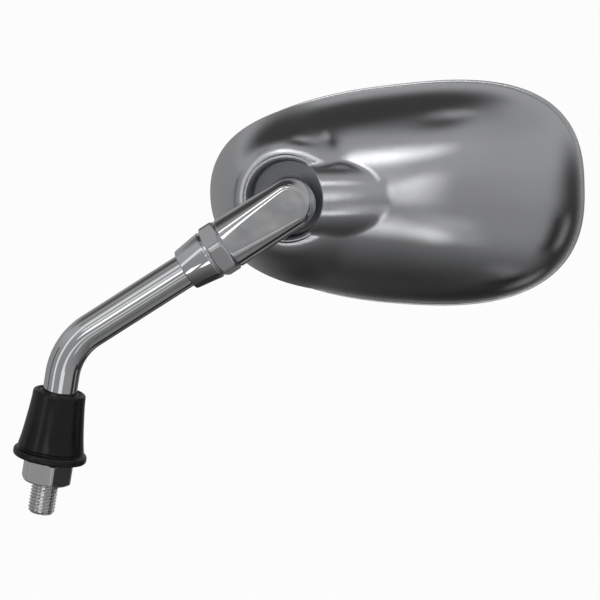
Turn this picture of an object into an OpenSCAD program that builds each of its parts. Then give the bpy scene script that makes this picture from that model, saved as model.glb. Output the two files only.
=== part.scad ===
// Left-hand motorcycle mirror on a bent stem
// Origin on the stud's axis at the lock nut's lower face, Z up the stud, X outboard, the glass faces +Y

/* [Stud and lock nut] */
// Radius over the stud's thread
stud_r = 5; // [4:0.5:6]
// Length of stud below the lock nut
stud_reach = 12; // [8:1:40]
// Depth of the thread, from its crest to its pitch line
thread_depth = 0.4; // [0.3:0.05:0.6]
// Width of the lock nut over its flats
nut_flats = 17; // [15:1:22]
// Height of the lock nut
nut_h = 8.8; // [6:0.2:12]
// Turn of the lock nut about the stud
nut_turn = 44.6; // [0:0.2:60]

/* [Stem] */
// Outer radius of the stem tube
tube_r = 6.35; // [6:0.05:7]
// Wall of the stem tube
tube_wall = 2; // [1.2:0.1:2.5]
// Height of the tube's lower end
tube_foot = 12; // [11.8:0.1:14]
// Height at which the two straight runs of the stem meet
stem_rise = 52.1; // [48:0.1:80]
// Radius of the bend at the middle of the tube
bend_r = 24.4; // [18:0.1:26]
// Angle of the upper run above the horizontal
lift = 42.5; // [35:0.5:60]

/* [Rubber boot] */
// Height of the boot
boot_h = 25.5; // [22:0.5:27]
// Radius of the boot's base flange
boot_base_r = 13.7; // [13.2:0.1:16]
// Thickness of the base flange
boot_flange = 2.9; // [2:0.1:4]
// Radius of the boot just above the flange
boot_waist_r = 12.4; // [12:0.1:13]
// Radius of the boot at its top
boot_top_r = 9.8; // [9:0.1:11]
// Thickness of the neck that grips the tube
boot_neck = 3.5; // [2:0.5:5]
// Room between the lock nut's corners and the boot
boot_room = 0.4; // [0.3:0.1:0.6]

/* [Coupling nut] */
// Distance from the stem's bend to the nut's upper face
coupling_top = 70.6; // [66:0.1:90]
// Width of the coupling nut over its flats
coupling_flats = 19; // [18.5:0.5:22]
// Height of the hexagon
hex_h = 6.6; // [5:0.2:10]
// Length of the conical skirt
skirt_h = 11.5; // [8:0.5:16]
// Radius of the skirt at its lower end
skirt_end_r = 7.9; // [7.5:0.1:8.5]
// Radius of the skirt where it meets the hexagon
skirt_top_r = 9.4; // [9:0.1:9.5]
// Turn of the hexagon about the tube
coupling_turn = 20; // [0:1:60]
// Radius of the thread that joins the nut and the arm, at its pitch line
joint_thread_r = 7.68; // [7.3:0.02:8]
// Length of the arm's threaded boss in the nut
joint_thread_h = 4.5; // [4:0.1:5]

/* [Swivel] */
// Radius of the pin that the arm turns on
pin_r = 4; // [3:0.1:4.2]
// Share that the pin takes of the arm between its collar and the ball stud
pin_share = 0.53; // [0.4:0.01:0.6]
// Thickness of the pin's collar
collar_h = 3; // [2:0.2:4]
// Thickness of the friction washer
washer_h = 0.6; // [0.4:0.1:1]
// Length of the pin's insert in the tube
insert_h = 14; // [10:1:20]

/* [Arm] */
// Distance from the stem's bend to the ball stud's axis
arm_reach = 98; // [95:0.5:110]
// Radius of the arm at the coupling nut
arm_r = 9.8; // [9:0.1:11]
// Radius of the arm's round end
arm_end_r = 9.5; // [9:0.1:10]
// Height of the flats above the arm's axis at the coupling nut
flat_start = 8.7; // [8:0.1:9]
// Height of the flats above the arm's axis at the round end
flat_end = 6.8; // [6.6:0.1:7.5]
// Turn of the arm about the upper run of the stem
arm_turn = 7; // [0:1:15]

/* [Ball joint] */
// Distance from the arm's axis to the ball's centre
ball_drop = 29; // [28.5:0.1:32]
// Radius of the ball
ball_r = 8; // [7.5:0.1:8.2]
// Radius of the ball stud's neck
neck_r = 3.2; // [2.8:0.1:3.4]
// Radius of the ball stud's shank
shank_r = 4; // [3:0.5:4.5]
// Depth of the shank in the arm
shank_h = 10.8; // [8:0.2:12]
// Width of the ball stud's hexagon over its flats
stud_hex = 11; // [10:0.5:12]
// Thickness of the nylon liners
liner_t = 1.4; // [1:0.1:1.5]
// Angle from the head's back to the rear liner's mouth
rear_liner_from = 108; // [104:1:114]
// Angle from the head's back to the front liner's inner edge
front_liner_from = 44; // [42:1:50]
// Angle from the head's back to the front liner's outer edge
front_liner_to = 72; // [66:1:74]
// Thickness of the clamp plate
plate_t = 2; // [1.5:0.1:2.5]
// Distance of the clamp screws from the ball's axis
clamp_pitch = 17; // [16.5:0.1:18]

/* [Head] */
// Half of the head's length inside the lip
head_half_length = 70.4; // [66:0.1:80]
// Half of the head's height inside the lip
head_half_height = 40.3; // [38:0.1:48]
// Distance of the outline's middle outboard of the ball
head_ahead = 33; // [30:0.1:36]
// Distance of the outline's middle above the ball
head_above = 1.4; // [-2:0.1:4]
// Share by which the outline widens outboard
head_taper = 0.149; // [0:0.01:0.2]
// Drop of the outline's middle line
head_bow = 1.6; // [0:0.1:4]
// Fullness of the inboard end, 2 is an ellipse
inboard_fullness = 2.33; // [2:0.01:3]
// Fullness of the outboard end, 2 is an ellipse
outboard_fullness = 2.58; // [2:0.01:3]
// Depth of the dome from its mouth
dome_depth = 38; // [36:0.5:44]
// Fullness of the dome, 2 is an ellipse
dome_fullness = 2.5; // [2.2:0.05:3]
// Distance of the dome's top outboard of the outline's middle
dome_shift = 6; // [0:1:12]
// Wall of the housing
shell_t = 2.2; // [1.8:0.1:3]
// Height of the lip round the housing's mouth
lip_h = 2.4; // [1.5:0.1:4]
// Distance that the lip stands out
lip_out = 0.8; // [0.4:0.1:1.5]
// Distance from the ball's centre to the housing's mouth
mouth_y = 23; // [22.8:0.1:26]
// Turn of the head about its upright axis
head_pan = 11; // [8:1:14]
// Turn of the housing's back upwards
head_lift = 5; // [2:1:8]
// Rise of the head's long axis
head_roll = 12.4; // [0:0.1:20]

/* [Recess and fairing] */
// Radius of the recess at its rim
recess_r = 14.6; // [14.2:0.1:16]
// Distance from the ball's centre to the rim of the recess
rim_y = 16; // [15:0.1:16.5]
// Distance from the ball's centre to the floor of the recess
floor_y = 10; // [9.8:0.1:11]
// Distance of the recess inboard of the ball
recess_shift = 0.9; // [0:0.1:1.5]
// Distance of the recess below the outline's middle
recess_drop = 0.6; // [0:0.1:1.2]
// Radius of the shoulder round the recess, at the housing's mouth
shoulder_r = 31.5; // [29:0.1:32]
// Radius of the bead round the recess
bead_r = 0.9; // [0.5:0.1:1.2]
// Radius of the hole that the neck passes through
neck_hole_r = 7.5; // [7.3:0.1:7.7]
// Radius of the fairing's arc at the recess
fairing_r = 24.6; // [22:0.1:26]
// Length of the whole fairing from the recess
fairing_length = 57.8; // [50:0.2:60]
// Distance of the fairing's axis below the recess
fairing_drop = 0.9; // [0:0.1:1.5]
// Height of the fairing above the rim of the recess
fairing_rise = 5.5; // [2:0.1:6]

/* [Glass] */
// Thickness of the glass
glass_t = 2.4; // [1.8:0.1:3]
// Thickness of the foam pad
foam_t = 0.8; // [0.5:0.1:1]
// Thickness of the glass carrier
carrier_t = 1.8; // [1.5:0.1:2]
// Thickness of the gasket over the glass
gasket_t = 1.3; // [0.8:0.1:2]
// Width of the gasket over the glass
gasket_lap = 1.6; // [1:0.1:3]
// Distance of the carrier's screws from the outline
screw_inset = 11; // [9:0.5:12]
// Radius of the carrier's screws
carrier_screw_r = 1.5; // [1:0.1:2]
// Radius of the clamp screws
clamp_screw_r = 2; // [1.5:0.1:2.2]

/* [Hidden] */
$fn = 64;

// Clearance of a turning or sliding fit, on the radius
fit = 0.05;
// Space between faces that turn past each other
face_gap = 0.1;
// A length that reaches past any cut
far = 60;
// How far a short cut reaches past a face
past = 1;
// Chamfer of small edges
edge = 0.4;

// Places along the stem's upper run, from the bend
bend_run = bend_r * tan((90 - lift) / 2);
coupling_foot = coupling_top - hex_h - skirt_h;
arm_foot = coupling_top + face_gap;
boss_foot = coupling_top - joint_thread_h;
collar_top = boss_foot - washer_h;
tube_end = collar_top - collar_h;
pin_h = pin_share * (arm_reach - shank_r - collar_top);
collar_gap = 0.25;
collar_r = joint_thread_r - collar_gap;
// Places on the ball stud, along its axis
boss_rise = 1;
boss_face = flat_end + boss_rise;
stud_hex_h = 2;
hex_face = boss_face + stud_hex_h;
// Spheres of the ball joint
liner_in = ball_r + fit;
liner_out = liner_in + liner_t;
seat_r = liner_out + fit;
// Stack behind the ball, towards the glass
cup_back = 2;
cup_face = seat_r + cup_back;
spring_t = 0.6;
spring_cone = 0.34;
spring_gap = 0.02;
plate_y = cup_face + 2 * (spring_t + spring_cone) + spring_gap;
spigot_r = 5.2;
spigot_h = 1.4;
screw_head_h = 2;
screw_head_r = 1.8 * clamp_screw_r;
clamp_screw_h = 10;
// Stack of the glass, towards the rider
glass_rise = 0.6;
glass_face = mouth_y + glass_rise;
foam_y = glass_face - glass_t - foam_t;
carrier_y = foam_y - carrier_t;
gasket_wall = 2;
glass_inset = shell_t + gasket_wall;
carrier_screw_h = 8;
carrier_head_r = 2 * carrier_screw_r;
screw_land = 0.3;
// The ball's centre
stud_way = [sin(arm_turn) * sin(lift), cos(arm_turn), -sin(arm_turn) * cos(lift)];
ball_at = [0, 0, stem_rise] + arm_reach * [cos(lift), 0, sin(lift)] + ball_drop * stud_way;
// Shape of the dome
rim_points = 72;
dome_rings = 14;
fairing_steps = 12;
shoulder_steps = 12;
rim_land = recess_r + bead_r;

// Frames of the stem's upper run, of the arm and of the head
module along_run() {
    translate([0, 0, stem_rise])
        rotate([0, 90 - lift, 0])
            children();
}

module along_arm() {
    along_run()
        rotate([0, 0, -arm_turn])
            children();
}

module in_head() {
    translate(ball_at)
        rotate([-head_lift, 0, -head_pan])
            rotate([0, -head_roll, 0])
                children();
}

module at_recess() {
    translate([-recess_shift, 0, head_above - recess_drop])
        children();
}

// A shape turned about the Y axis from a profile of radius and Y
module turned() {
    rotate([-90, 0, 0])
        rotate_extrude()
            children();
}

module post(r, from, to) {
    translate([0, from, 0])
        rotate([-90, 0, 0])
            cylinder(r = r, h = to - from);
}

// A hexagon with both ends chamfered to a round face
module hexagon(flats, h) {
    corner = flats / 2 / cos(30);
    face_share = 0.96;
    out = 0.1;
    face = face_share * flats / 2;
    drop = (corner + out - face) * tan(30);
    intersection() {
        cylinder(r = corner, h = h, $fn = 6);
        rotate_extrude()
            polygon([[0, 0], [face, 0], [corner + out, drop], [corner + out, h - drop],
                     [face, h], [0, h]]);
    }
}

// The head's outline, a tapered and bowed superellipse
function outline(grow) = [
    for (i = [0 : rim_points - 1])
        let (turn = 360 * i / rim_points,
             full = cos(turn) >= 0 ? outboard_fullness : inboard_fullness,
             u = sign(cos(turn)) * pow(abs(cos(turn)), 2 / full),
             v = sign(sin(turn)) * pow(abs(sin(turn)), 2 / full))
        [(head_half_length + grow) * u,
         (head_half_height + grow) * v * (1 + head_taper * u) - head_bow * (1 - u * u)]
];

module head_slab(grow, from, to) {
    translate([head_ahead, to, head_above])
        rotate([90, 0, 0])
            linear_extrude(to - from)
                polygon(outline(grow));
}

// A closed dome over the outline, with its base at the housing's mouth
module dome(grow, depth, base) {
    rim = outline(grow);
    levels = concat(base < 0 ? [[1, base]] : [],
                    [for (j = [0 : dome_rings - 1])
                        let (a = 90 * j / dome_rings)
                        [pow(cos(a), 2 / dome_fullness), depth * pow(sin(a), 2 / dome_fullness)]]);
    rows = len(levels);
    top = rows * rim_points;
    points = concat(
        [for (level = levels, p = rim)
            [head_ahead + dome_shift * (1 - level[0]) + level[0] * p[0],
             mouth_y - level[1],
             head_above + level[0] * p[1]]],
        [[head_ahead + dome_shift, mouth_y - depth, head_above]]);
    sides = [for (row = [0 : rows - 2], i = [0 : rim_points - 1])
        let (a = row * rim_points + i,
             b = row * rim_points + (i + 1) % rim_points)
        each [[a, b + rim_points, b], [a, a + rim_points, b + rim_points]]];
    crown = [for (i = [0 : rim_points - 1])
        [(rows - 1) * rim_points + (i + 1) % rim_points, (rows - 1) * rim_points + i, top]];
    base_face = [[for (i = [0 : rim_points - 1]) i]];
    polyhedron(points, concat(sides, crown, base_face), convexity = 6);
}

// Fairing outboard of the recess, an ellipsoid of revolution about a level axis
module fairing(grow) {
    translate([0, fairing_r - rim_y - fairing_rise, -fairing_drop])
        rotate([180, -90, 0])
            rotate_extrude(angle = 180)
                polygon(concat([[0, 0]],
                    [for (i = [0 : fairing_steps])
                        let (a = 90 * i / fairing_steps)
                        [(fairing_r + grow) * cos(a), (fairing_length + grow) * sin(a)]]));
}

// Round shoulder that carries the recess, an elliptic arc from its rim to the outline's inboard end
module recess_shoulder(grow, base) {
    turned()
        polygon(concat([[0, base]],
            [for (i = [0 : shoulder_steps])
                let (a = 90 * i / shoulder_steps)
                [rim_land + grow + (shoulder_r - rim_land) * cos(a),
                 base - (base + rim_y + grow) * sin(a)]],
            [[0, -rim_y - grow]]));
}

module head_form() {
    dome(0, dome_depth, 0);
    at_recess() {
        recess_shoulder(0, mouth_y - lip_h);
        fairing(0);
    }
}

module head_hollow() {
    dome(-shell_t, dome_depth - shell_t, -2 * past);
    at_recess() {
        recess_shoulder(-shell_t, mouth_y - lip_h);
        fairing(-shell_t);
    }
}

module clamp_screw_places() {
    for (turn = [90, 210, 330])
        rotate([0, turn, 0])
            translate([clamp_pitch, 0, 0])
                children();
}

module carrier_screw_places() {
    long = head_half_length - screw_inset;
    high = head_half_height - screw_inset;
    for (p = [[-long, 0], [long, 0], [0, high], [0, -high]])
        translate([head_ahead + p[0], 0, head_above + p[1] - head_bow])
            children();
}

module threaded_stud() {
    tip = 1;
    shoulder = 1.5;
    pitch_r = stud_r - thread_depth;
    insert_r = tube_r - tube_wall - fit;
    color("silver")
        rotate_extrude()
            polygon([[0, -stud_reach], [stud_r - tip, -stud_reach], [stud_r, tip - stud_reach],
                     [stud_r, 0], [pitch_r, 0], [pitch_r, tube_foot - shoulder],
                     [tube_r, tube_foot - shoulder], [tube_r, tube_foot], [insert_r, tube_foot],
                     [insert_r, tube_foot + insert_h], [0, tube_foot + insert_h]]);
}

module lock_nut() {
    bore_r = stud_r - thread_depth + fit;
    mouth_r = stud_r + edge;
    sink = mouth_r - bore_r;
    color("silver")
        difference() {
            rotate([0, 0, nut_turn])
                hexagon(nut_flats, nut_h);
            rotate_extrude()
                polygon([[0, -past], [mouth_r, -past], [mouth_r, 0], [bore_r, sink],
                         [bore_r, nut_h - sink], [mouth_r, nut_h], [mouth_r, nut_h + past],
                         [0, nut_h + past]]);
        }
}

module rubber_boot() {
    nut_space = 0.4;
    foot = nut_h + nut_space;
    top = foot + boot_h;
    flange_top = foot + boot_flange;
    hollow_r = nut_flats / 2 / cos(30) + boot_room;
    grip_r = tube_r + fit;
    round = 0.5;
    bell = 3;
    waist_in = 0.6;
    middle_out = 0.9;
    middle_share = 0.58;
    upper_out = 0.1;
    upper_share = 0.8;
    neck_wall = 1.9;
    mouth = 0.8;
    hollow_top = foot + nut_h + past;
    color("dimgray")
        rotate_extrude()
            polygon([[hollow_r, foot], [boot_base_r - round, foot], [boot_base_r, foot + round],
                     [boot_base_r, flange_top - round], [boot_base_r - round, flange_top],
                     [boot_waist_r - round, flange_top], [boot_waist_r - round, flange_top + round],
                     [boot_waist_r, flange_top + round], [boot_waist_r - waist_in, flange_top + bell],
                     [boot_top_r + middle_out, foot + boot_h * middle_share],
                     [boot_top_r + upper_out, foot + boot_h * upper_share],
                     [boot_top_r, top - round], [boot_top_r - round, top],
                     [grip_r + mouth, top], [grip_r, top - mouth], [grip_r, top - boot_neck],
                     [boot_top_r - neck_wall, top - boot_neck], [hollow_r, hollow_top]]);
}

// Wall of the tube in section, thicker by extra on both sides
module tube_ring(extra) {
    difference() {
        circle(tube_r + extra);
        circle(tube_r - tube_wall - extra);
    }
}

// The bend's wall is a hair thicker and laps over the straight runs
module stem_tube() {
    swell = 0.02;
    lap = 0.5;
    color("gainsboro") {
        translate([0, 0, tube_foot])
            rotate([0, 0, 180])
                linear_extrude(stem_rise - bend_run - tube_foot)
                    tube_ring(0);
        translate([bend_r, 0, stem_rise - bend_run])
            rotate([90, 0, 0])
                rotate([0, 0, 90 + lift - lap])
                    rotate_extrude(angle = 90 - lift + 2 * lap)
                        translate([bend_r, 0])
                            tube_ring(swell);
        along_run()
            translate([0, 0, bend_run])
                rotate([0, 0, 180])
                    linear_extrude(tube_end - bend_run)
                        tube_ring(0);
    }
}

module swivel_pin() {
    tip = 0.6;
    insert_r = tube_r - tube_wall - fit;
    color("silver")
        along_arm()
            rotate_extrude()
                polygon([[0, tube_end - insert_h], [insert_r, tube_end - insert_h],
                         [insert_r, tube_end], [collar_r, tube_end], [collar_r, collar_top],
                         [pin_r, collar_top], [pin_r, collar_top + pin_h - tip],
                         [pin_r - tip, collar_top + pin_h], [0, collar_top + pin_h]]);
}

module friction_washer() {
    color("ivory")
        along_arm()
            translate([0, 0, collar_top + face_gap / 2])
                difference() {
                    cylinder(r = collar_r, h = washer_h - face_gap / 2);
                    translate([0, 0, -past])
                        cylinder(r = pin_r + fit, h = washer_h + 2 * past);
                }
}

module coupling_nut() {
    step = 0.5;
    hex_foot = coupling_top - hex_h;
    color("silver")
        along_arm()
            difference() {
                union() {
                    translate([0, 0, hex_foot])
                        rotate([0, 0, coupling_turn])
                            hexagon(coupling_flats, hex_h);
                    rotate_extrude()
                        polygon([[0, coupling_foot], [skirt_end_r - edge, coupling_foot],
                                 [skirt_end_r, coupling_foot + edge],
                                 [skirt_top_r, hex_foot - 2 * step],
                                 [skirt_top_r - step, hex_foot - step],
                                 [skirt_top_r - step, hex_foot + past], [0, hex_foot + past]]);
                }
                rotate_extrude()
                    polygon([[0, coupling_foot - past], [tube_r + fit, coupling_foot - past],
                             [tube_r + fit, tube_end - face_gap],
                             [joint_thread_r + fit, tube_end - face_gap],
                             [joint_thread_r + fit, coupling_top + past], [0, coupling_top + past]]);
            }
}

// Half-space outside one of the arm's sloping flats
module flat_cut() {
    slope = atan((flat_start - flat_end) / (arm_reach - arm_foot));
    translate([0, -flat_start, arm_foot])
        rotate([-slope, 0, 0])
            translate([-far / 2, -far, -far / 2])
                cube([far, far, 2 * far]);
}

module arm() {
    bar_h = arm_reach - arm_foot;
    boss_wall = 1;
    hole_room = 0.5;
    color("silver")
        along_arm()
            difference() {
                union() {
                    difference() {
                        translate([0, 0, arm_foot])
                            rotate_extrude()
                                intersection() {
                                    union() {
                                        polygon([[0, 0], [arm_r - edge, 0], [arm_r, edge],
                                                 [arm_end_r, bar_h], [0, bar_h]]);
                                        translate([0, bar_h])
                                            circle(arm_end_r);
                                    }
                                    square([far, far]);
                                }
                        flat_cut();
                        mirror([0, 1, 0])
                            flat_cut();
                    }
                    translate([0, 0, boss_foot])
                        cylinder(r = joint_thread_r, h = arm_foot - boss_foot + past);
                    translate([0, 0, arm_reach])
                        post(stud_hex / 2 + boss_wall, 0, boss_face);
                }
                translate([0, 0, boss_foot - past])
                    cylinder(r = pin_r + fit, h = collar_top + pin_h - boss_foot + past + hole_room);
                translate([0, 0, arm_reach])
                    post(shank_r + fit, boss_face - shank_h - hole_room, far);
            }
}

module ball_stud() {
    color("silver")
        along_arm()
            translate([0, 0, arm_reach]) {
                post(shank_r, boss_face - shank_h, boss_face);
                translate([0, boss_face, 0])
                    rotate([-90, 0, 0])
                        hexagon(stud_hex, hex_face - boss_face);
                post(neck_r, hex_face - edge, ball_drop - ball_r / 2);
                translate([0, ball_drop, 0])
                    sphere(ball_r);
            }
}

// A slice of the spherical liner between two angles from the head's back
module liner(from, to) {
    turned()
        intersection() {
            difference() {
                circle(liner_out);
                circle(liner_in);
            }
            polygon([[0, 0], far * [sin(from), -cos(from)],
                     2 * far * [sin((from + to) / 2), -cos((from + to) / 2)],
                     far * [sin(to), -cos(to)]]);
        }
}

module rear_liner() {
    color("ivory")
        in_head()
            liner(rear_liner_from, 180);
}

module front_liner() {
    color("ivory")
        in_head()
            liner(front_liner_from, front_liner_to);
}

// Lip round the mouth, where the gasket seats
module lip() {
    difference() {
        head_slab(lip_out, mouth_y - lip_h, mouth_y);
        head_slab(-shell_t, mouth_y - lip_h - past, mouth_y + past);
    }
}

module seat_boss() {
    seat_wall = 4;
    turned()
        polygon([[0, -rim_y - far], [recess_r + shell_t, -rim_y - far],
                 [recess_r + shell_t, shell_t + fit - floor_y], [seat_r + seat_wall, shell_t - floor_y],
                 [seat_r + seat_wall, -past], [0, -past]]);
}

// Webs that stiffen the dome between the seat and the shell
module ribs() {
    rib_t = 1.6;
    for (turn = [0, 55, 125, 235, 305])
        rotate([0, turn, 0])
            translate([recess_r, -far, -rib_t / 2])
                cube([far, far + past, rib_t]);
}

module housing() {
    boss_wall = 1.8;
    draft = 0.5;
    color("dimgray")
        in_head()
            difference() {
                union() {
                    difference() {
                        head_form();
                        head_hollow();
                    }
                    intersection() {
                        head_form();
                        union() {
                            at_recess()
                                seat_boss();
                            ribs();
                            clamp_screw_places()
                                post(clamp_screw_r + boss_wall, -far, plate_y);
                            carrier_screw_places()
                                post(carrier_screw_r + boss_wall, -far, carrier_y);
                        }
                    }
                    lip();
                    at_recess()
                        translate([0, -rim_y, 0])
                            rotate([-90, 0, 0])
                                rotate_extrude()
                                    translate([recess_r + bead_r, 0])
                                        circle(bead_r, $fn = 32);
                }
                at_recess()
                    turned()
                        polygon([[0, -floor_y], [recess_r - draft, -floor_y], [recess_r, -rim_y],
                                 [recess_r, -far], [0, -far]]);
                post(neck_hole_r, -far, 0);
                sphere(seat_r);
                clamp_screw_places()
                    post(clamp_screw_r + fit, plate_y - clamp_screw_h - 2 * past, far);
                carrier_screw_places()
                    post(carrier_screw_r + fit, carrier_y - carrier_screw_h - past, far);
            }
}

module recess_washer() {
    thick = 0.8;
    room = 0.9;
    color("slategray")
        in_head()
            at_recess()
                difference() {
                    post(recess_r - room, -floor_y - thick, -floor_y);
                    translate([recess_shift, 0, recess_drop - head_above])
                        post(neck_hole_r + face_gap, -far, 0);
                }
}

module pressure_cup() {
    cup_wall = 2.2;
    cup_foot = 3.4;
    cup_r = seat_r + cup_wall;
    color("silver")
        in_head()
            difference() {
                turned()
                    polygon([[0, cup_foot], [cup_r - edge, cup_foot], [cup_r, cup_foot + edge],
                             [cup_r, cup_face - edge], [cup_r - edge, cup_face], [spigot_r, cup_face],
                             [spigot_r, cup_face + spigot_h], [0, cup_face + spigot_h]]);
                sphere(seat_r);
            }
}

module disc_springs() {
    inner_r = spigot_r + 0.2;
    outer_r = seat_r + 1;
    middle = spring_t + spring_cone;
    color("darkgray")
        in_head()
            turned() {
                polygon([[outer_r, cup_face], [outer_r, cup_face + spring_t],
                         [inner_r, cup_face + middle], [inner_r, cup_face + spring_cone]]);
                polygon([[outer_r, plate_y], [outer_r, plate_y - spring_t],
                         [inner_r, plate_y - middle], [inner_r, plate_y - spring_cone]]);
            }
}

module clamp_plate() {
    hole_r = 4;
    plate_wall = 4;
    color("silver")
        in_head()
            difference() {
                union() {
                    post(seat_r + plate_wall, plate_y, plate_y + plate_t);
                    clamp_screw_places()
                        post(screw_head_r + past, plate_y, plate_y + plate_t);
                }
                post(hole_r, plate_y - past, plate_y + plate_t + past);
                clamp_screw_places()
                    post(clamp_screw_r + fit, plate_y - past, plate_y + plate_t + past);
            }
}

module clamp_screws() {
    slot = 0.8;
    head_foot = plate_y + plate_t;
    color("silver")
        in_head()
            clamp_screw_places() {
                post(clamp_screw_r, plate_y - clamp_screw_h, head_foot);
                difference() {
                    post(screw_head_r, head_foot, head_foot + screw_head_h);
                    for (turn = [0, 90])
                        rotate([0, turn, 0])
                            translate([-clamp_screw_r, head_foot + slot, -slot / 2])
                                cube([2 * clamp_screw_r, screw_head_h, slot]);
                }
            }
}

module glass_carrier() {
    room = 0.8;
    color("black")
        in_head()
            difference() {
                head_slab(-shell_t - room, carrier_y, carrier_y + carrier_t);
                carrier_screw_places()
                    turned()
                        polygon([[0, carrier_y - past], [carrier_screw_r + fit, carrier_y - past],
                                 [carrier_screw_r + fit, carrier_y + screw_land],
                                 [carrier_head_r + fit, carrier_y + carrier_t - fit],
                                 [carrier_head_r + fit, carrier_y + carrier_t + past],
                                 [0, carrier_y + carrier_t + past]]);
            }
}

module carrier_screws() {
    color("silver")
        in_head()
            carrier_screw_places()
                turned()
                    polygon([[0, carrier_y - carrier_screw_h],
                             [carrier_screw_r, carrier_y - carrier_screw_h],
                             [carrier_screw_r, carrier_y + screw_land],
                             [carrier_head_r, carrier_y + carrier_t - fit],
                             [0, carrier_y + carrier_t - fit]]);
}

module foam_pad() {
    margin = 3;
    color("white")
        in_head()
            head_slab(-glass_inset - margin, foam_y, foam_y + foam_t);
}

module mirror_glass() {
    color("lightsteelblue")
        in_head()
            head_slab(-glass_inset, foam_y + foam_t, glass_face);
}

module gasket() {
    nip = 0.2;
    color("black")
        in_head()
            difference() {
                union() {
                    head_slab(lip_out - nip, mouth_y, glass_face + gasket_t);
                    head_slab(-shell_t - nip, carrier_y + carrier_t, mouth_y + nip);
                }
                head_slab(nip - glass_inset, 0, glass_face);
                head_slab(-glass_inset - gasket_lap, 0, far);
            }
}

threaded_stud();
lock_nut();
rubber_boot();
stem_tube();
swivel_pin();
friction_washer();
coupling_nut();
arm();
ball_stud();
rear_liner();
front_liner();
housing();
recess_washer();
pressure_cup();
disc_springs();
clamp_plate();
clamp_screws();
glass_carrier();
carrier_screws();
foam_pad();
mirror_glass();
gasket();
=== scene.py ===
# Dresses the left-hand motorcycle mirror for its studio picture
import math
import bmesh
import bpy
import numpy as np
from mathutils import Matrix, Vector


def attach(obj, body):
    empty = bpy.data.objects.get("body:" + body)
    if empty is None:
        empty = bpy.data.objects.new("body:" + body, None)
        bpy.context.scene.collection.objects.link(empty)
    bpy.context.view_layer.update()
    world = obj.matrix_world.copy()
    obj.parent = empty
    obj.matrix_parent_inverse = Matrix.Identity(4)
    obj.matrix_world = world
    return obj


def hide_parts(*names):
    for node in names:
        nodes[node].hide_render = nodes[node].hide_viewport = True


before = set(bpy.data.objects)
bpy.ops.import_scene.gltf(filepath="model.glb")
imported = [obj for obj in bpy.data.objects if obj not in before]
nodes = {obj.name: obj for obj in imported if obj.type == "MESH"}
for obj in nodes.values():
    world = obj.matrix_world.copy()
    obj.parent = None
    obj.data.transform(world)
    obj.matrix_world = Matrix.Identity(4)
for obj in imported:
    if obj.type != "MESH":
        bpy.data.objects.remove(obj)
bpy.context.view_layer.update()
millimetre = 0.001
print("stage: frame loaded")


# Frames of the stem's upper run, the arm and the head, in millimetres
layout = {
    "rise": 52.1, "lift": 42.5, "armTurn": 7, "armReach": 98, "ballDrop": 29,
    "headPan": 11, "headLift": 5, "headRoll": 12.4,
}


def turned(axis, degrees):
    return Matrix.Rotation(math.radians(degrees), 4, axis)


stemFrame = Matrix.Identity(4)
runFrame = Matrix.Translation((0, 0, layout["rise"])) @ turned("Y", 90 - layout["lift"])
armFrame = runFrame @ turned("Z", -layout["armTurn"])
ballAt = armFrame @ Vector((0, layout["ballDrop"], layout["armReach"]))
headFrame = (Matrix.Translation(ballAt) @ turned("Z", -layout["headPan"])
             @ turned("X", -layout["headLift"]) @ turned("Y", -layout["headRoll"]))


# Camera at the photo's viewing angle
viewpoint = {
    "place": (0.0817, -1.4959, 0.388), "elevation": 11.5, "roll": 9.6,
    "lens": 250, "sensor": 36, "farthest": 100,
}


def addCamera():
    tilt = math.radians(viewpoint["elevation"])
    roll = math.radians(viewpoint["roll"])
    right = Vector((1, 0, 0))
    up = Vector((0, math.sin(tilt), math.cos(tilt)))
    ahead = Vector((0, math.cos(tilt), -math.sin(tilt)))
    side = math.cos(roll) * right + math.sin(roll) * up
    top = math.cos(roll) * up - math.sin(roll) * right
    data = bpy.data.cameras.new("camera")
    data.lens = viewpoint["lens"]
    data.sensor_width = viewpoint["sensor"]
    data.clip_end = viewpoint["farthest"]
    camera = bpy.data.objects.new("camera", data)
    aim = Matrix((side, top, -ahead)).transposed().to_4x4()
    camera.matrix_world = Matrix.Translation(viewpoint["place"]) @ aim
    bpy.context.collection.objects.link(camera)
    bpy.context.scene.camera = camera


addCamera()
print("stage: camera placed")


# Node graph helpers
def makeNode(tree, kind, **settings):
    node = tree.nodes.new(kind)
    for key, value in settings.items():
        setattr(node, key, value)
    return node


# Links a socket, or sets a plain value
def feed(tree, socket, value):
    if isinstance(value, bpy.types.NodeSocket):
        tree.links.new(value, socket)
    else:
        socket.default_value = value


def mathNode(tree, operation, first, second=0.0):
    node = makeNode(tree, "ShaderNodeMath", operation=operation)
    feed(tree, node.inputs[0], first)
    feed(tree, node.inputs[1], second)
    return node.outputs[0]


def vectorNode(tree, operation, first, second=(0, 0, 0)):
    node = makeNode(tree, "ShaderNodeVectorMath", operation=operation)
    feed(tree, node.inputs[0], first)
    feed(tree, node.inputs[1], second)
    return node.outputs


def mapRange(tree, value, low, high, toLow, toHigh):
    node = makeNode(tree, "ShaderNodeMapRange", clamp=True)
    for socket, item in zip(node.inputs[:5], (value, low, high, toLow, toHigh)):
        feed(tree, socket, item)
    return node.outputs[0]


def objectPlace(tree):
    return makeNode(tree, "ShaderNodeTexCoord").outputs["Object"]


def noise(tree, scale, detail):
    node = makeNode(tree, "ShaderNodeTexNoise")
    feed(tree, node.inputs["Vector"], objectPlace(tree))
    feed(tree, node.inputs["Scale"], scale)
    feed(tree, node.inputs["Detail"], detail)
    return node.outputs["Fac"]


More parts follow.
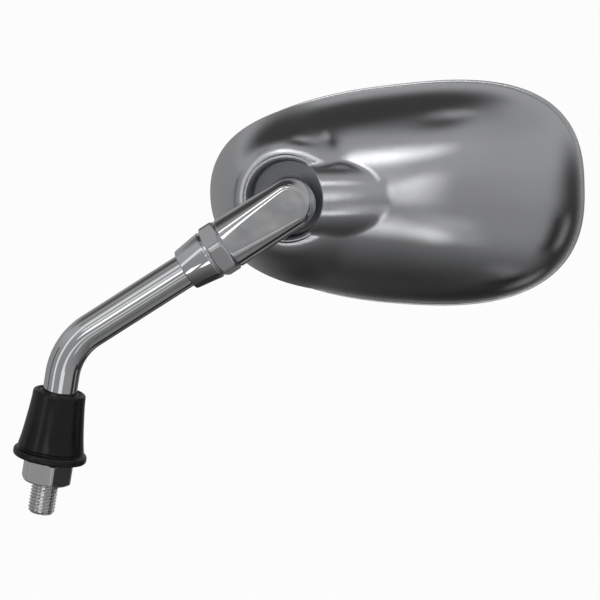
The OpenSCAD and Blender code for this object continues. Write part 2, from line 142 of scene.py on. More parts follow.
def newGroup(name, ins, outs):
    group = bpy.data.node_groups.new(name, "ShaderNodeTree")
    for title, default in ins:
        socket = group.interface.new_socket(title, in_out="INPUT", socket_type="NodeSocketFloat")
        socket.default_value = default
    for title in outs:
        group.interface.new_socket(title, in_out="OUTPUT", socket_type="NodeSocketFloat")
    return group, group.nodes.new("NodeGroupInput"), group.nodes.new("NodeGroupOutput")


# Fine wear shared by the metals and plastics: tint mask, roughness and surface height
wear = {"broadDetail": 4.0, "fineDetail": 2.0, "fineness": 14.0, "height": 0.6, "band": (0.3, 0.7)}


def makeWearGroup():
    group, entry, leave = newGroup("surfaceWear",
                                   [("Scale", 60.0), ("Roughness", 0.1), ("Variation", 0.03)],
                                   ["Mask", "Roughness", "Height"])
    scale = entry.outputs["Scale"]
    broad = noise(group, scale, wear["broadDetail"])
    fine = noise(group, mathNode(group, "MULTIPLY", scale, wear["fineness"]), wear["fineDetail"])
    swing = mapRange(group, broad, *wear["band"], -1.0, 1.0)
    offset = mathNode(group, "MULTIPLY", swing, entry.outputs["Variation"])
    feed(group, leave.inputs["Mask"], broad)
    feed(group, leave.inputs["Roughness"],
         mathNode(group, "ADD", entry.outputs["Roughness"], offset))
    feed(group, leave.inputs["Height"], mathNode(group, "MULTIPLY", fine, wear["height"]))
    return group


wearGroup = makeWearGroup()


def startMaterial(name, color, metallic, coat=0.0, coatRoughness=0.1):
    material = bpy.data.materials.new(name)
    material.use_nodes = True
    tree = material.node_tree
    shader = tree.nodes["Principled BSDF"]
    feed(tree, shader.inputs["Base Color"], (*color, 1))
    feed(tree, shader.inputs["Metallic"], metallic)
    feed(tree, shader.inputs["Coat Weight"], coat)
    feed(tree, shader.inputs["Coat Roughness"], coatRoughness)
    return material, tree, shader


def useWear(tree, scale, roughness, variation):
    node = makeNode(tree, "ShaderNodeGroup", node_tree=wearGroup)
    feed(tree, node.inputs["Scale"], scale)
    feed(tree, node.inputs["Roughness"], roughness)
    feed(tree, node.inputs["Variation"], variation)
    return node


# Colour between two tones, by a mask
def tint(tree, mask, dark, light):
    ramp = makeNode(tree, "ShaderNodeValToRGB")
    for stop, position, tone in zip(ramp.color_ramp.elements, wear["band"], (dark, light)):
        stop.position = position
        stop.color = (*tone, 1)
    feed(tree, ramp.inputs[0], mask)
    return ramp.outputs[0]


def addBump(tree, shader, height, strength, distance):
    bump = makeNode(tree, "ShaderNodeBump")
    feed(tree, bump.inputs["Strength"], strength)
    feed(tree, bump.inputs["Distance"], distance)
    feed(tree, bump.inputs["Height"], height)
    feed(tree, shader.inputs["Normal"], bump.outputs[0])


# One worn surface: colour between two tones, roughness with variation and a fine bump
def surface(name, dark, light, metallic, scale, roughness, variation, bump, distance, **extra):
    material, tree, shader = startMaterial(name, light, metallic, **extra)
    worn = useWear(tree, scale, roughness, variation)
    feed(tree, shader.inputs["Base Color"], tint(tree, worn.outputs["Mask"], dark, light))
    feed(tree, shader.inputs["Roughness"], worn.outputs["Roughness"])
    addBump(tree, shader, worn.outputs["Height"], bump, distance)
    return material


# Metals
chrome = surface("polishedChrome", (0.80, 0.81, 0.83), (0.86, 0.87, 0.88), 1.0,
                 scale=90.0, roughness=0.05, variation=0.02, bump=0.05, distance=0.00002)
castChrome = surface("castChrome", (0.76, 0.77, 0.79), (0.86, 0.87, 0.88), 1.0,
                     scale=160.0, roughness=0.08, variation=0.03, bump=0.12, distance=0.00003)
nutChrome = surface("nutChrome", (0.86, 0.87, 0.88), (0.94, 0.95, 0.96), 1.0,
                    scale=140.0, roughness=0.08, variation=0.03, bump=0.1, distance=0.00003)
zincSteel = surface("zincSteel", (0.84, 0.84, 0.84), (0.92, 0.92, 0.93), 1.0,
                    scale=200.0, roughness=0.12, variation=0.04, bump=0.1, distance=0.00002)
springSteel = surface("springSteel", (0.3, 0.3, 0.31), (0.42, 0.42, 0.43), 1.0,
                      scale=150.0, roughness=0.35, variation=0.05, bump=0.1, distance=0.00003)

# Plastics and rubber
nylon = surface("nylon", (0.76, 0.75, 0.69), (0.84, 0.83, 0.78), 0.0,
                scale=90.0, roughness=0.45, variation=0.05, bump=0.1, distance=0.00003)
blackPlastic = surface("blackPlastic", (0.018, 0.018, 0.019), (0.03, 0.03, 0.031), 0.0,
                       scale=120.0, roughness=0.5, variation=0.06, bump=0.3, distance=0.00004)
foam = surface("foam", (0.62, 0.62, 0.6), (0.8, 0.8, 0.78), 0.0,
               scale=300.0, roughness=0.9, variation=0.05, bump=0.8, distance=0.0002)
rubber = surface("bootRubber", (0.003, 0.003, 0.003), (0.009, 0.009, 0.01), 0.0,
                 scale=70.0, roughness=0.25, variation=0.06, bump=0.3, distance=0.00005)
sealRubber = surface("sealRubber", (0.012, 0.012, 0.013), (0.022, 0.022, 0.023), 0.0,
                     scale=110.0, roughness=0.55, variation=0.06, bump=0.3, distance=0.00005)

# Mirror glass: silver under a clear coat
mirrorGlass = surface("mirrorGlass", (0.84, 0.87, 0.88), (0.87, 0.9, 0.9), 1.0,
                      scale=30.0, roughness=0.015, variation=0.004, bump=0.02, distance=0.00001,
                      coat=0.6, coatRoughness=0.02)


# Satin metallic paint with a fine grain of flakes
paint = {
    "dark": (0.70, 0.71, 0.73), "light": (0.75, 0.76, 0.78), "scale": 45.0,
    "roughness": 0.165, "variation": 0.02, "flake": 5200.0, "grain": 0.32, "depth": 0.00004,
}


def makePaint():
    material, tree, shader = startMaterial("satinPaint", paint["light"], 1.0)
    worn = useWear(tree, paint["scale"], paint["roughness"], paint["variation"])
    flakes = makeNode(tree, "ShaderNodeTexVoronoi")
    feed(tree, flakes.inputs["Vector"], objectPlace(tree))
    feed(tree, flakes.inputs["Scale"], paint["flake"])
    feed(tree, shader.inputs["Base Color"],
         tint(tree, worn.outputs["Mask"], paint["dark"], paint["light"]))
    feed(tree, shader.inputs["Roughness"], worn.outputs["Roughness"])
    addBump(tree, shader, flakes.outputs["Distance"], paint["grain"], paint["depth"])
    return material


satinPaint = makePaint()


# Dark steel with circular brush marks about an axis
brush = {
    "base": (0.3, 0.31, 0.33), "dark": (0.2, 0.205, 0.215), "light": (0.31, 0.315, 0.33),
    "marks": 1800.0, "detail": 4.0, "roughness": (0.24, 0.4), "bump": 0.5, "depth": 0.00005,
}


def makeBrushed(centre, axis):
    material, tree, shader = startMaterial("circularBrushed", brush["base"], 1.0)
    shift = vectorNode(tree, "SUBTRACT", objectPlace(tree), centre)["Vector"]
    across = vectorNode(tree, "CROSS_PRODUCT", shift, axis)["Vector"]
    radius = vectorNode(tree, "LENGTH", across)["Value"]
    rings = makeNode(tree, "ShaderNodeTexNoise", noise_dimensions="1D")
    feed(tree, rings.inputs["W"], mathNode(tree, "MULTIPLY", radius, brush["marks"]))
    feed(tree, rings.inputs["Scale"], 1.0)
    feed(tree, rings.inputs["Detail"], brush["detail"])
    marks = rings.outputs["Fac"]
    feed(tree, shader.inputs["Base Color"], tint(tree, marks, brush["dark"], brush["light"]))
    feed(tree, shader.inputs["Roughness"],
         mapRange(tree, marks, *wear["band"], *brush["roughness"]))
    addBump(tree, shader, marks, brush["bump"], brush["depth"])
    return material


print("stage: materials made")


# Mesh helpers, all in millimetres
weld = 0.0005


# A grid whose vertices are placed by a function of two shares from 0 to 1
def mapped(columns, rows, place):
    bm = bmesh.new()
    bmesh.ops.create_grid(bm, x_segments=columns, y_segments=rows, size=1)
    shares = (np.array([v.co[:2] for v in bm.verts]) + 1) / 2
    for vert, point in zip(bm.verts, place(shares[:, 0], shares[:, 1])):
        vert.co = point
    bmesh.ops.remove_doubles(bm, verts=bm.verts, dist=weld)
    bmesh.ops.recalc_face_normals(bm, faces=bm.faces)
    return bm


# Rounds the corners (radius, height, fillet) of a path
def filleted(corners, steps=4):
    out = []
    for i, corner in enumerate(corners):
        fillet = corner[2] if len(corner) > 2 else 0
        here = Vector(corner[:2])
        if fillet <= 0 or i in (0, len(corners) - 1):
            out.append(here)
            continue
        before = Vector(corners[i - 1][:2]) - here
        after = Vector(corners[i + 1][:2]) - here
        reach = min(fillet, before.length * 0.49, after.length * 0.49)
        start, end = here + before.normalized() * reach, here + after.normalized() * reach
        for k in range(steps + 1):
            t = k / steps
            out.append((1 - t) ** 2 * start + 2 * t * (1 - t) * here + t * t * end)
    return out


# Cuts a path into steps no longer than a spacing
def spaced(path, spacing):
    dense = [path[0]]
    for a, b in zip(path, path[1:]):
        parts = max(1, math.ceil((b - a).length / spacing))
        dense += [a.lerp(b, k / parts) for k in range(1, parts + 1)]
    return dense


# A form turned about Z from corners (radius, height, fillet), then reshaped at each vertex
def spun(corners, steps=96, spacing=0.0, reshape=None):
    path = filleted(corners)
    if spacing:
        path = spaced(path, spacing)
    bm = bmesh.new()
    verts = [bm.verts.new((max(p[0], 0), 0, p[1])) for p in path]
    edges = [bm.edges.new(pair) for pair in zip(verts, verts[1:])]
    bmesh.ops.spin(bm, geom=verts + edges, cent=(0, 0, 0), axis=(0, 0, 1), dvec=(0, 0, 0),
                   angle=math.tau, steps=steps, use_merge=True, use_duplicate=False)
    bmesh.ops.remove_doubles(bm, verts=bm.verts, dist=weld)
    if reshape:
        for vert in bm.verts:
            vert.co = reshape(vert.co)
    bmesh.ops.recalc_face_normals(bm, faces=bm.faces)
    return bm


# Adds another mesh to the first one, at a place
def joined(target, other, place=stemFrame):
    mesh = bpy.data.meshes.new("scratch")
    bmesh.ops.transform(other, matrix=place, verts=other.verts)
    other.to_mesh(mesh)
    other.free()
    target.from_mesh(mesh)
    bpy.data.meshes.remove(mesh)
    return target


# A finished piece that rides on a body and replaces the frame's node
def addPiece(name, bm, place, body, material, node, sharp):
    bmesh.ops.transform(bm, matrix=Matrix.Scale(millimetre, 4) @ place, verts=bm.verts)
    mesh = bpy.data.meshes.new(name)
    bm.to_mesh(mesh)
    bm.free()
    mesh.materials.append(material)
    mesh.shade_smooth()
    mesh.set_sharp_from_angle(angle=math.radians(sharp))
    piece = bpy.data.objects.new(name, mesh)
    bpy.context.collection.objects.link(piece)
    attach(piece, body)
    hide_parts(node)
    print("stage:", name, "made,", len(mesh.polygons), "faces")


# The smaller of two values, rounded where they meet
def softMin(a, b, reach):
    gap = np.maximum(reach - np.abs(a - b), 0)
    return np.minimum(a, b) - gap * gap / (4 * reach)


# Radius of a hexagon at a turn, with its corners rounded
def hexRadius(turn, flats, corner):
    sixth = math.pi / 3
    part = abs((turn + sixth / 2) % sixth - sixth / 2)
    near, far = (flats / 2 / math.cos(angle) for angle in (part, sixth - part))
    return softMin(near, far, corner)


# Clips a turned blank to a hexagon, with one corner at the given turn
def hexClip(flats, turnDegrees, corner):
    offset = math.radians(turnDegrees + 30)

    def clip(co):
        reach = math.hypot(co.x, co.y)
        limit = hexRadius(math.atan2(co.y, co.x) - offset, flats, corner)
        scale = softMin(reach, limit, corner) / reach
        return Vector((co.x * scale, co.y * scale, co.z))
    return clip


# Steps round a hexagon, step along its path, room over its corners and fillet of its chamfers
hexagon = {"steps": 180, "spacing": 0.16, "over": 0.05, "fillet": 0.1}


# A hexagon between two heights, chamfered to a round face at both ends
def hexPrism(size, foot, top, bore, mouth, rim=None, steps=hexagon["steps"]):
    rim = rim or size["flats"] / 2 / math.cos(math.pi / 6) + hexagon["over"]
    face, chamfer, fillet = size["face"], size["chamfer"], hexagon["fillet"]
    path = [(bore, foot), (face, foot, fillet), (rim, foot + chamfer, fillet),
            (rim, top - chamfer, fillet), (face, top, fillet), (mouth, top)]
    return spun(path, steps, hexagon["spacing"],
                hexClip(size["flats"], size["turn"], size["corner"]))


# Threaded stud, with a helical thread below the lock nut and a stepped plug in the tube
stud = {
    "radius": 5, "reach": 12, "pitch": 1.25, "depth": 0.8, "tip": 1.1, "top": 3,
    "steepness": 1.15, "land": 0.06, "columns": 72, "rows": 150,
    "plug": [(4.6, 3), (4.6, 10.5), (6.35, 10.5), (6.35, 12), (4.3, 12), (4.3, 26), (0, 26)],
}


def studPoints(u, v):
    turn = u * math.tau
    z = -stud["reach"] + v * (stud["reach"] + stud["top"])
    phase = (z / stud["pitch"] - u) % 1
    groove = np.clip(np.abs(phase - 0.5) * 2 * stud["steepness"] - stud["land"], 0, 1)
    radius = stud["radius"] - stud["depth"] * groove
    radius = np.minimum(radius, stud["radius"] - stud["tip"] + z + stud["reach"])
    radius = np.where(v <= 0, 0.0, radius)
    return np.stack([radius * np.cos(turn), radius * np.sin(turn), z], axis=1)


studMesh = joined(mapped(stud["columns"], stud["rows"], studPoints), spun(stud["plug"], 64))
addPiece("studThread", studMesh, stemFrame, "stem", zincSteel, "threaded_stud", 35)


# Lock nut, a chamfered hexagon
lockNut = {
    "flats": 17, "height": 8.8, "turn": 44.6, "chamfer": 1.0, "face": 8.15, "bore": 4.65,
    "corner": 0.6,
}
nutMesh = hexPrism(lockNut, 0.0, lockNut["height"], lockNut["bore"], lockNut["bore"])
addPiece("lockNutHex", nutMesh, stemFrame, "lock_nut", nutChrome, "lock_nut", 30)


# Rubber boot: its foot's height, then corners (radius, height over the foot, fillet) from the
# hollow, over the base flange and up to the lip round the tube
boot = {
    "foot": 9.2, "steps": 128, "spacing": 0.8,
    "profile": [
        (10.215, 9.8), (10.215, 0.4), (10.615, 0, 0.3), (13.3, 0, 0.5), (13.7, 0.6, 0.5),
        (13.7, 2.2, 0.6), (12.9, 3.0, 0.5), (12.05, 3.1, 0.3), (12.0, 3.6, 0.3),
        (12.35, 4.0, 0.3), (11.8, 6.6, 2), (11.15, 11.0, 3), (10.6, 15.5, 3), (10.15, 19.5, 3),
        (9.9, 22.5, 2), (9.8, 24.9, 0.6), (9.3, 25.5, 0.5), (8.5, 25.5, 0.4), (8.2, 24.8, 0.4),
        (7.6, 24.7, 0.3), (7.35, 25.35, 0.3), (6.75, 25.3, 0.3), (6.42, 24.7),
    ],
}
bootMesh = spun(boot["profile"], boot["steps"], boot["spacing"])
bootFrame = Matrix.Translation((0, 0, boot["foot"]))
addPiece("rubberBoot", bootMesh, bootFrame, "boot", rubber, "rubber_boot", 60)


# Stem tube, swept along two straight runs and the bend between them
tube = {
    "radius": 6.35, "foot": 12, "end": 62.5, "bend": 24.4, "columns": 96, "bendRows": 40,
    "lead": 0.4, "lowRows": (20, 30), "highRows": (35, 50),
}


# Centres and leans of the tube's rings
def tubePath():
    angle = math.radians(90 - layout["lift"])
    run = tube["bend"] * math.tan(angle / 2)
    low = layout["rise"] - run
    heights = (tube["foot"], *tube["lowRows"], low - tube["lead"])
    stations = [(Vector((0, 0, z)), 0.0) for z in heights]
    centre = Vector((tube["bend"], 0, low))
    for i in range(tube["bendRows"] + 1):
        a = angle * i / tube["bendRows"]
        stations.append((centre + Vector((-math.cos(a), 0, math.sin(a))) * tube["bend"], a))
    way = Vector((math.sin(angle), 0, math.cos(angle)))
    vertex = Vector((0, 0, layout["rise"]))
    reaches = (run + tube["lead"], *tube["highRows"], tube["end"])
    return stations + [(vertex + way * t, angle) for t in reaches]


tubeStations = tubePath()


def tubePoints(u, v):
    out = []
    for turn, share in zip(u * math.tau, v * (len(tubeStations) - 1)):
        at, lean = tubeStations[int(round(share))]
        side = Vector((math.cos(lean), 0, -math.sin(lean)))
        spoke = math.cos(turn) * side + math.sin(turn) * Vector((0, 1, 0))
        out.append(at + tube["radius"] * spoke)
    return out


tubeMesh = mapped(tube["columns"], len(tubeStations) - 1, tubePoints)
addPiece("stemTube", tubeMesh, stemFrame, "stem", chrome, "stem_tube", 60)


# Coupling nut: a hexagon on a conical skirt, with a step between them
coupling = {
    "top": 70.6, "flats": 19, "hex": 6.6, "turn": 20, "chamfer": 1.1, "face": 9.15,
    "corner": 0.6, "hexBore": 7.4, "mouth": 7.75, "foot": 52.5, "bore": 6.42, "land": 1.0,
    "footRadius": 7.9, "topRadius": 9.4, "stepFrom": 0.9, "stepTo": 0.35, "stepIn": 0.55,
    "neckIn": 0.6, "lap": 0.4, "steps": 128,
}


def couplingMesh():
    c = coupling
    hexFoot = c["top"] - c["hex"]
    bm = hexPrism(c, hexFoot, c["top"], c["hexBore"], c["mouth"])
    skirt = [(c["bore"], c["foot"] + c["land"]), (c["bore"], c["foot"], 0.1),
             (c["footRadius"], c["foot"], 0.5), (c["topRadius"], hexFoot - c["stepFrom"], 0.35),
             (c["topRadius"] - c["stepIn"], hexFoot - c["stepTo"], 0.2),
             (c["topRadius"] - c["neckIn"], hexFoot + c["lap"])]
    return joined(bm, spun(skirt, c["steps"]))


addPiece("couplingNut", couplingMesh(), armFrame, "coupling_nut", chrome, "coupling_nut", 30)


# Arm: a turned bar with a round end, flattened on two sides with softly rounded edges
arm = {
    "foot": 70.7, "reach": 98, "bore": 7.0, "radius": 9.8, "endRadius": 9.5, "break": 0.4,
    "flatStart": 8.7, "flatEnd": 6.8, "soft": 1.0, "endRows": 60, "steps": 240, "spacing": 0.35,
    "thread": [(7.6, 70.5), (7.6, 71.7)], "threadSteps": 64,
    "boss": [(6.5, 3), (6.5, 7.8, 0.4), (4.1, 7.8)], "bossSteps": 72,
}


def armReshape(co):
    share = (co.z - arm["foot"]) / (arm["reach"] - arm["foot"])
    limit = arm["flatStart"] + (arm["flatEnd"] - arm["flatStart"]) * share
    height = softMin(abs(co.y), limit, arm["soft"])
    return Vector((co.x, math.copysign(height, co.y), co.z))


# Frame of what stands on the arm's back, behind the end's centre
backFrame = Matrix.Translation((0, 0, arm["reach"])) @ turned("X", -90)


def armMesh():
    a = arm
    path = [(a["bore"], a["foot"]), (a["radius"] - a["break"], a["foot"], 0.15),
            (a["radius"], a["foot"] + a["break"], 0.2), (a["endRadius"], a["reach"])]
    for k in range(1, a["endRows"] + 1):
        t = math.pi / 2 * k / a["endRows"]
        path.append((a["endRadius"] * math.cos(t), a["reach"] + a["endRadius"] * math.sin(t)))
    bm = spun(path, a["steps"], a["spacing"], armReshape)
    joined(bm, spun(a["thread"], a["threadSteps"]))
    return joined(bm, spun(a["boss"], a["bossSteps"]), backFrame)


addPiece("mirrorArm", armMesh(), armFrame, "arm", castChrome, "arm", 60)


# Ball stud: shank, hexagon, neck and ball on the arm's back
ballStud = {
    "radius": 8, "neck": 3.2, "flare": 0.6, "flareRise": 0.8, "flats": 11, "turn": 0,
    "corner": 0.2, "chamfer": 0.5, "face": 5.3, "rim": 6.4, "bore": 3, "hexFrom": 7.8,
    "hexTo": 9.8, "shank": 4, "shankFrom": -3, "shankSteps": 48, "hexSteps": 120,
    "ballRows": 48, "ballSteps": 72,
}


def ballStudMesh():
    b = ballStud
    shank = [(0, b["shankFrom"]), (b["shank"], b["shankFrom"], 0.4), (b["shank"], b["hexFrom"])]
    bm = spun(shank, b["shankSteps"])
    joined(bm, hexPrism(b, b["hexFrom"], b["hexTo"], b["bore"], b["bore"], b["rim"],
                        b["hexSteps"]))
    path = [(b["neck"] + b["flare"], b["hexTo"]), (b["neck"], b["hexTo"] + b["flareRise"], 0.3)]
    start = math.asin(b["neck"] / b["radius"])
    for k in range(b["ballRows"] + 1):
        t = start + (math.pi - start) * k / b["ballRows"]
        path.append((b["radius"] * math.sin(t), layout["ballDrop"] - b["radius"] * math.cos(t)))
    return joined(bm, spun(path, b["ballSteps"]))


addPiece("ballStud", ballStudMesh(), armFrame @ backFrame, "arm", zincSteel, "ball_stud", 35)


# The head's outline and dome
head = {
    "halfLength": 70.4, "halfHeight": 40.3, "ahead": 33, "above": 1.4, "taper": 0.149,
    "bow": 1.6, "inboard": 2.33, "outboard": 2.58, "depth": 40, "fullness": 2.15, "shift": 4,
    "mouth": 23, "lipHeight": 2.4, "lipOut": 0.8, "wall": 2.2, "reach": 1.6, "least": 0.2,
}
# The round recess and the shoulder that falls from its rim. The wall's rows run from the hole
# outward: radius, step toward the camera, and share of the way from the floor to the rim
recess = {
    "radius": 14.6, "rim": -16, "floor": -10, "across": -0.9, "above": 0.8, "bead": 0.9,
    "shoulder": 31.5, "stretch": 2, "fall": 19.5,
    "wall": [(7.6, -6, 0), (7.6, 0, 0), (10, 0, 0), (13.2, 0, 0), (13.8, 0.06, 0),
             (14.05, 0.25, 0), (14.13, 0.7, 0), (14.16, 0, 0.15), (14.3, 0, 0.4),
             (14.45, 0, 0.7), (14.58, 0, 1), (14.62, -0.3, 1), (14.7, -0.12, 1),
             (14.78, -0.05, 1)],
}
# The half-cone fairing from the recess into the dome
fairing = {
    "radius": 24.3, "length": 56.0, "fullness": 2.3, "rise": 6.0, "drop": 0.4, "blend": 0.9,
    "crown": 4, "flank": 0.022,
}
# Rows of the housing's skin, outward from the recess
skin = {
    "columns": 360, "nearRows": 22, "midRows": 96, "edgeRows": 34, "rimStep": 0.3,
    "nearReach": 3.0, "edgeFrom": 0.8, "midPower": 1.25, "edgePower": 2.6,
    "shoulderBlend": 2.6, "lipStep": 0.2,
}
absent = 50.0
# Longest ray and halvings of the searches for the outline and the dome
search = {"longest": 160.0, "outline": 50, "smallest": 1e-4, "dome": 40}


# Below 1 inside the head's outline, which can be grown by a width
def outlineValue(x, z, grow=0.0):
    u = np.clip(x / (head["halfLength"] + grow), -head["reach"], head["reach"])
    height = (head["halfHeight"] + grow) * np.maximum(1 + head["taper"] * u, head["least"])
    v = (z + head["bow"] * (1 - u * u)) / height
    full = np.where(u >= 0, head["outboard"], head["inboard"])
    return np.abs(u) ** full + np.abs(v) ** full


# Distance along a ray from the recess's centre to the outline
def rayLength(cosine, sine, grow):
    low, high = np.zeros_like(cosine), np.full_like(cosine, search["longest"])
    for _ in range(search["outline"]):
        middle = (low + high) / 2
        inside = outlineValue(recess["across"] + middle * cosine - head["ahead"],
                              recess["above"] + middle * sine - head["above"], grow) < 1
        low, high = np.where(inside, middle, low), np.where(inside, high, middle)
    return low


# The dome is a stack of shrinking outlines
def domeDepth(x, z):
    low, high = np.full_like(x, search["smallest"]), np.ones_like(x)
    for _ in range(search["dome"]):
        k = (low + high) / 2
        inside = outlineValue((x - head["ahead"] - head["shift"] * (1 - k)) / k,
                              (z - head["above"]) / k) < 1
        low, high = np.where(inside, low, k), np.where(inside, k, high)
    k = (low + high) / 2
    full = head["fullness"]
    return head["mouth"] - head["depth"] * np.maximum(1 - k ** full, 0) ** (1 / full)


# The fairing's ridge, a bar whose radius shrinks to a point outboard
def ridgeDepth(px, pz):
    f = fairing
    side = pz + f["drop"]
    along = np.clip(px / f["length"], 0, 1) ** f["fullness"]
    arc = f["radius"] ** 2 * (1 - along) ** (2 / f["fullness"]) - side ** 2
    ridge = recess["rim"] - f["rise"] + f["radius"] - np.sqrt(np.maximum(arc, 0))
    ridge = ridge + f["flank"] * np.maximum(np.abs(side) - f["crown"], 0) ** 2
    return np.where((px > 0) & (arc > 0), ridge, absent)


# Depth of the housing's skin: dome, shoulder, fairing and the bead round the recess
def skinDepth(x, z):
    px, pz = x - recess["across"], z - recess["above"]
    r = np.hypot(px, pz)
    land = recess["radius"] + recess["bead"]
    reach = recess["shoulder"] + recess["stretch"] * (np.maximum(px, 0) / r) ** 2
    share = np.maximum((r - land) / (reach - land), 0)
    shoulder = recess["rim"] + recess["fall"] * share ** 2
    blend = skin["shoulderBlend"]
    body = -blend * np.logaddexp(-domeDepth(x, z) / blend, -shoulder / blend)
    body = softMin(body, ridgeDepth(px, pz), fairing["blend"])
    offset = np.clip((r - land) / recess["bead"], -1, 1)
    bead = recess["rim"] - recess["bead"] * np.sqrt(1 - offset * offset)
    return np.minimum(body, np.where(np.abs(offset) < 1, bead, absent))


# Rows of the lip round the mouth, as pairs of growth and depth
def lipRows():
    out, mouth = head["lipOut"], head["mouth"]
    low, inner = mouth - head["lipHeight"], -head["wall"]
    return [(0.0, low - 0.15), (0.15, low), (out - 0.2, low), (out - 0.05, low + 0.05),
            (out, low + 0.2), (out, mouth - 0.25), (out - 0.07, mouth - 0.07),
            (out - 0.25, mouth), (0, mouth), (inner, mouth), (inner, mouth - 4),
            (inner, mouth - 8)]


lip = lipRows()
skinFrom = len(recess["wall"])
lipFrom = skinFrom + skin["nearRows"] + skin["midRows"] + skin["edgeRows"] + 1
housingRows = lipFrom + len(lip) - 1


# Points of the housing in rows about the recess: its wall, the skin and the lip
def housingPoints(u, v):
    s = skin
    row = np.round(v * housingRows)
    cosine, sine = np.cos(u * math.tau), np.sin(u * math.tau)

    def at(r):
        return recess["across"] + r * cosine, recess["above"] + r * sine

    edge = rayLength(cosine, sine, 0.0)
    rim = recess["radius"] + s["rimStep"]
    near = recess["radius"] + s["nearReach"]
    band = s["edgeFrom"] * edge
    step = row - skinFrom
    r = rim + (near - rim) * np.clip(step / s["nearRows"], 0, 1)
    step = step - s["nearRows"]
    r = r + (band - near) * np.clip(step / s["midRows"], 0, 1) ** s["midPower"]
    step = step - s["midRows"]
    r = r + (edge - band) * (1 - (1 - np.clip(step / s["edgeRows"], 0, 1)) ** s["edgePower"])
    x, z = at(r)
    top = head["mouth"] - head["lipHeight"] - s["lipStep"]
    y = np.minimum(skinDepth(x, z), top)

    rise = skinDepth(*at(rim)) - recess["floor"]
    rows = [(k, radius, recess["floor"] + rise * share - ahead)
            for k, (radius, ahead, share) in enumerate(recess["wall"])]
    rows += [(lipFrom + k, rayLength(cosine, sine, grow), depth)
             for k, (grow, depth) in enumerate(lip)]
    for k, radius, depth in rows:
        here = row == k
        ringX, ringZ = at(radius)
        x, y, z = np.where(here, ringX, x), np.where(here, depth, y), np.where(here, ringZ, z)
    return np.stack([x, y, z], axis=1)


housingMesh = mapped(skin["columns"], housingRows, housingPoints)
addPiece("mirrorHousing", housingMesh, headFrame, "head", satinPaint, "housing", 55)


# Washer on the recess's floor, round the ball stud's hole
washer = {"radius": 13.7, "thick": 0.8, "hole": 7.6, "steps": 128, "spacing": 1.2}
washerMesh = spun([(washer["hole"], 0), (washer["hole"], washer["thick"], 0.15),
                   (washer["radius"], washer["thick"], 0.2), (washer["radius"], 0)],
                  washer["steps"], washer["spacing"])
recessAt = Vector((recess["across"], recess["floor"], recess["above"]))
recessFrame = headFrame @ Matrix.Translation(recessAt) @ turned("X", 90)
washerAxis = (headFrame.to_3x3() @ Vector((0, 1, 0))).normalized()
brushedSteel = makeBrushed(headFrame @ recessAt * millimetre, washerAxis)
addPiece("recessWasher", washerMesh, recessFrame, "head", brushedSteel, "recess_washer", 40)


# A ring of the head's outline, grown by a width
def outlineRing(turn, grow):
    full = np.where(np.cos(turn) >= 0, head["outboard"], head["inboard"])
    u = np.sign(np.cos(turn)) * np.abs(np.cos(turn)) ** (2 / full)
    v = np.sign(np.sin(turn)) * np.abs(np.sin(turn)) ** (2 / full)
    height = (head["halfHeight"] + grow) * v * (1 + head["taper"] * u)
    return (head["ahead"] + (head["halfLength"] + grow) * u,
            head["above"] + height - head["bow"] * (1 - u * u))


# A band that follows the outline through pairs of growth and depth
def banded(rows, columns=288):
    growths, depths = np.array(rows, float).T

    def place(u, v):
        index = np.round(v * (len(rows) - 1)).astype(int)
        x, z = outlineRing(u * math.tau, growths[index])
        return np.stack([x, depths[index], z], axis=1)
    return mapped(columns, len(rows) - 1, place)


# Mirror glass: its face, with the steps inward of the rings that cover it
glass = {"face": 23.6, "thick": 2.4, "inset": -4.2, "edge": 0.3, "rings": (12, 24, 34), "back": 40}


def glassMesh():
    g = glass
    inset, face, back = g["inset"], g["face"], g["face"] - g["thick"]
    rows = [(inset - g["back"], back), (inset, back), (inset, face - g["edge"]),
            (inset - g["edge"], face)]
    bm = banded(rows + [(inset - ring, face) for ring in g["rings"]])
    rims = [e for e in bm.edges if e.is_boundary and e.verts[0].co.y > (face + back) / 2]
    bmesh.ops.contextual_create(bm, geom=rims)
    bmesh.ops.recalc_face_normals(bm, faces=bm.faces)
    return bm


addPiece("mirrorGlass", glassMesh(), headFrame, "head", mirrorGlass, "mirror_glass", 30)


# Gasket: a closed band of pairs of growth and depth, from the carrier round the glass's edge
gasket = [
    (-2.3, 20.0), (-2.3, 23.05), (-0.6, 23.05), (0.35, 23.05), (0.6, 23.3), (0.6, 24.3),
    (0.35, 24.75), (-0.1, 24.9), (-2.6, 24.9), (-5.2, 24.6), (-5.75, 24.2), (-5.8, 23.62),
    (-4.4, 23.6), (-4.0, 23.4), (-4.0, 20.0), (-2.3, 20.0),
]
addPiece("glassGasket", banded(gasket), headFrame, "head", sealRubber, "gasket", 50)


# Materials of the frame's own nodes that stay
carried = {
    "swivel_pin": zincSteel, "friction_washer": nylon, "rear_liner": nylon,
    "front_liner": nylon, "pressure_cup": zincSteel, "disc_springs": springSteel,
    "clamp_plate": zincSteel, "clamp_screws": zincSteel, "glass_carrier": blackPlastic,
    "carrier_screws": zincSteel, "foam_pad": foam,
}
for name, material in carried.items():
    mesh = nodes[name].data
    mesh.materials.clear()
    mesh.materials.append(material)
print("stage: frame materials set")


# Studio: white surroundings, a pale floor and a tent that only reflections see, in metres
studio = {
    "worldLight": 0.7, "floorDepth": -0.4, "floorSize": 8, "floorTone": 0.93,
    "floorGlow": 0.93, "tentRadius": 3.0, "tentCentre": (0.08, 0.02, 0.09), "patchStep": 6,
}


def emptyTree(owner):
    owner.use_nodes = True
    owner.node_tree.nodes.clear()
    return owner.node_tree


